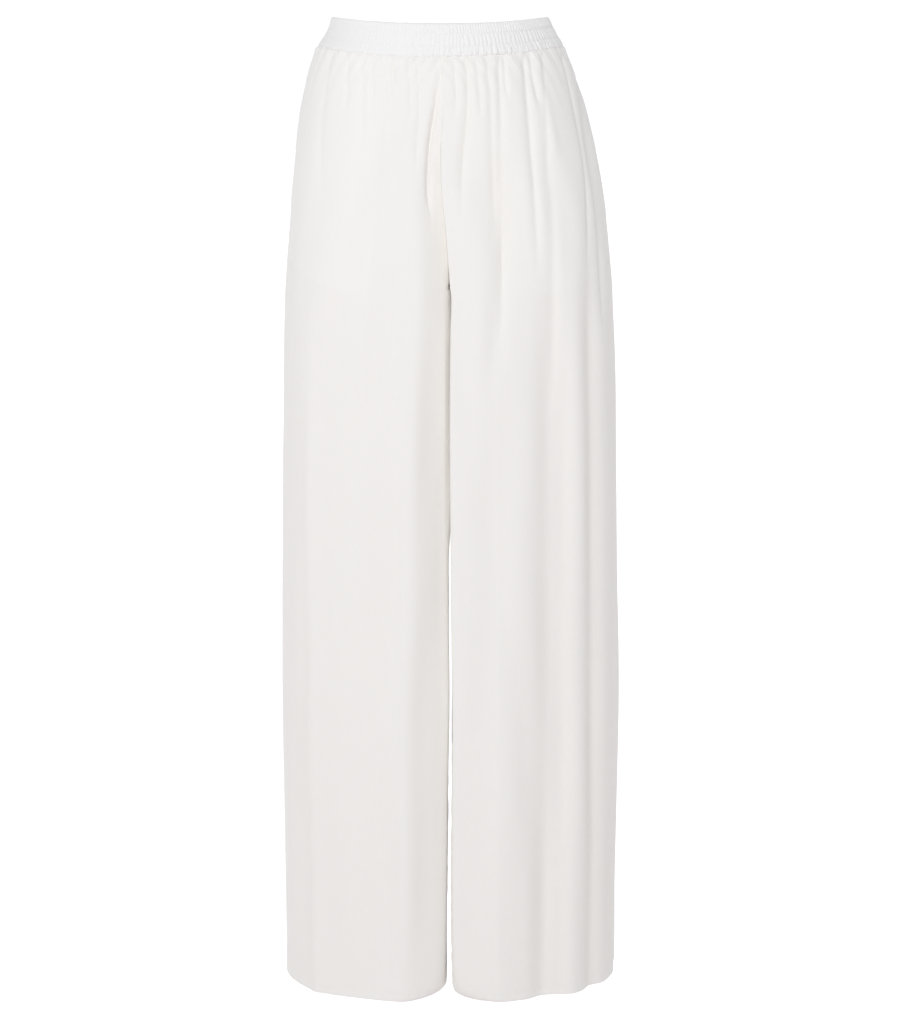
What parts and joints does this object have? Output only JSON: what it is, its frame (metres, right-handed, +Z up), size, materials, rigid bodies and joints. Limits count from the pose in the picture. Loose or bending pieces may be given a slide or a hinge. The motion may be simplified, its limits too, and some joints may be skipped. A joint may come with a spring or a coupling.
{
  "type": "straight-leg trousers",
  "caption": "Pull-on straight-leg trousers in soft crepe with a channelled elastic waistband and side-seam pockets, filled out as worn.",
  "frame": {"origin": "middle of the waist opening, level with the waistband's top edge at the sides, where the wearer's waist holds it", "axes": "+Z up towards the waist, the front faces -Y, and the wearer's left is +X"},
  "size_m": [0.3813, 0.2527, 1.08],
  "materials": {
    "crepe": "matte crepe, soft and slightly grained",
    "waistband_crepe": "matte crepe, ruched over elastic",
    "pocketing": "thin matte lining cloth"
  },
  "bodies": {
    "root": {"waistband": "waistband_crepe", "front_panel_left": "crepe", "front_panel_right": "crepe", "back_panel_left": "crepe", "back_panel_right": "crepe", "pocket_bag_front_left": "pocketing", "pocket_bag_front_right": "pocketing", "pocket_bag_back_left": "pocketing", "pocket_bag_back_right": "pocketing"}
  },
  "joints": []
}
